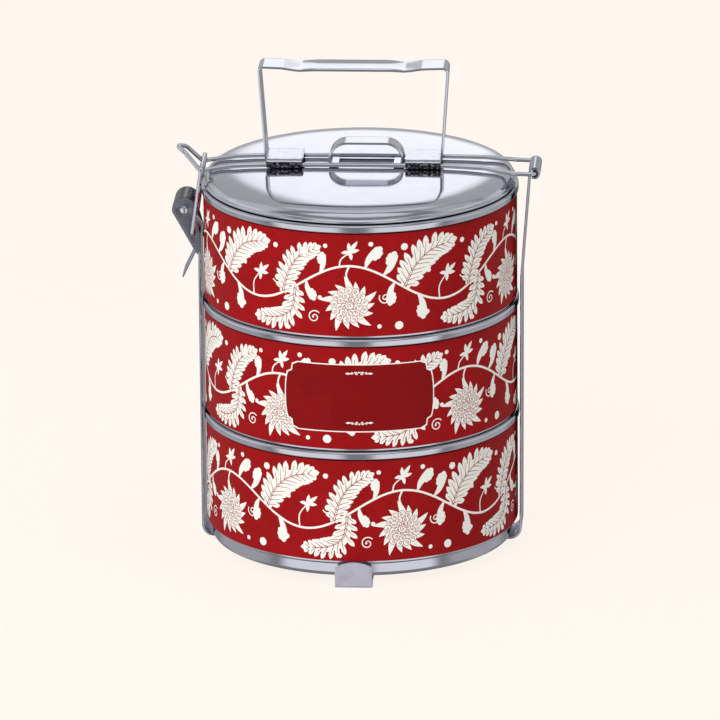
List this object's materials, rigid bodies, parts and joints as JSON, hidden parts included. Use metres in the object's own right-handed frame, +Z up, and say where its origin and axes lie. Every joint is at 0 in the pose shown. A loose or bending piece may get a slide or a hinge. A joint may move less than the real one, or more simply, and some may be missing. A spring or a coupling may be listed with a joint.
{
  "type": "tiffin carrier",
  "caption": "Stacked round food containers with a domed lid, held in a strap frame by a hinged wire arm with a carry handle and a side latch.",
  "frame": {"origin": "centre of the round stack, on the ground under the feet", "axes": "+Z up; +X towards the arm's hinge, -X towards the latch; -Y the front; the feet lie along Y"},
  "size_m": [0.1649, 0.1442, 0.2225],
  "materials": {
    "polished_steel": "polished stainless steel with fine wear",
    "wire_steel": "bright drawn wire",
    "latch_steel": "pressed steel, satin, knurled by the press",
    "dull_steel": "matt pressed steel",
    "red_film": "printed film, mottled red with a white vine pattern"
  },
  "bodies": {
    "frame": {"carrier_strap": "polished_steel", "foot_strip": "dull_steel", "base_rivet_left": "polished_steel", "base_rivet_right": "polished_steel", "latch_rivet": "polished_steel"},
    "bottom_tier": {"bowl_bottom": "polished_steel", "print_wrap_bottom": "red_film"},
    "middle_tier": {"bowl_middle": "polished_steel", "print_wrap_middle": "red_film"},
    "top_tier": {"bowl_top": "polished_steel", "print_wrap_top": "red_film"},
    "lid": {"lid_shell": "polished_steel", "lid_handle": "polished_steel"},
    "lever": {"latch_lever": "latch_steel"},
    "bail": {"latch_bail": "wire_steel"},
    "arm": {"clamp_wire": "wire_steel", "carry_handle": "polished_steel"}
  },
  "joints": [
    {"name": "arm_hinge", "type": "hinge", "parent": "frame", "child": "arm", "pos_m": [0.0784, 0, 0.1748], "axis": [0, 1, 0], "range_deg": [0, 150]},
    {"name": "latch_hinge", "type": "hinge", "parent": "frame", "child": "lever", "pos_m": [-0.0783, 0, 0.1563], "axis": [0, 1, 0], "range_deg": [0, 90]},
    {"name": "bail_hinge", "type": "hinge", "parent": "lever", "child": "bail", "pos_m": [-0.0747, 0, 0.1456], "axis": [0, 1, 0], "range_deg": [-210, 0]},
    {"name": "bottom_tier_lift", "type": "slide", "parent": "frame", "child": "bottom_tier", "axis": [0, 0, 1], "range_m": [0, 0.008]},
    {"name": "middle_tier_lift", "type": "slide", "parent": "frame", "child": "middle_tier", "axis": [0, 0, 1], "range_m": [0, 0.016]},
    {"name": "top_tier_lift", "type": "slide", "parent": "frame", "child": "top_tier", "axis": [0, 0, 1], "range_m": [0, 0.024]},
    {"name": "lid_lift", "type": "slide", "parent": "frame", "child": "lid", "axis": [0, 0, 1], "range_m": [0, 0.032]}
  ],
  "couplings": [
    {"joint": "latch_hinge", "follows": "arm_hinge", "ratio": 0.6},
    {"joint": "bail_hinge", "follows": "arm_hinge", "ratio": -1.4},
    {"joint": "bottom_tier_lift", "follows": "arm_hinge", "m_per_rad": 0.003},
    {"joint": "middle_tier_lift", "follows": "arm_hinge", "m_per_rad": 0.006},
    {"joint": "top_tier_lift", "follows": "arm_hinge", "m_per_rad": 0.009},
    {"joint": "lid_lift", "follows": "arm_hinge", "m_per_rad": 0.012}
  ]
}
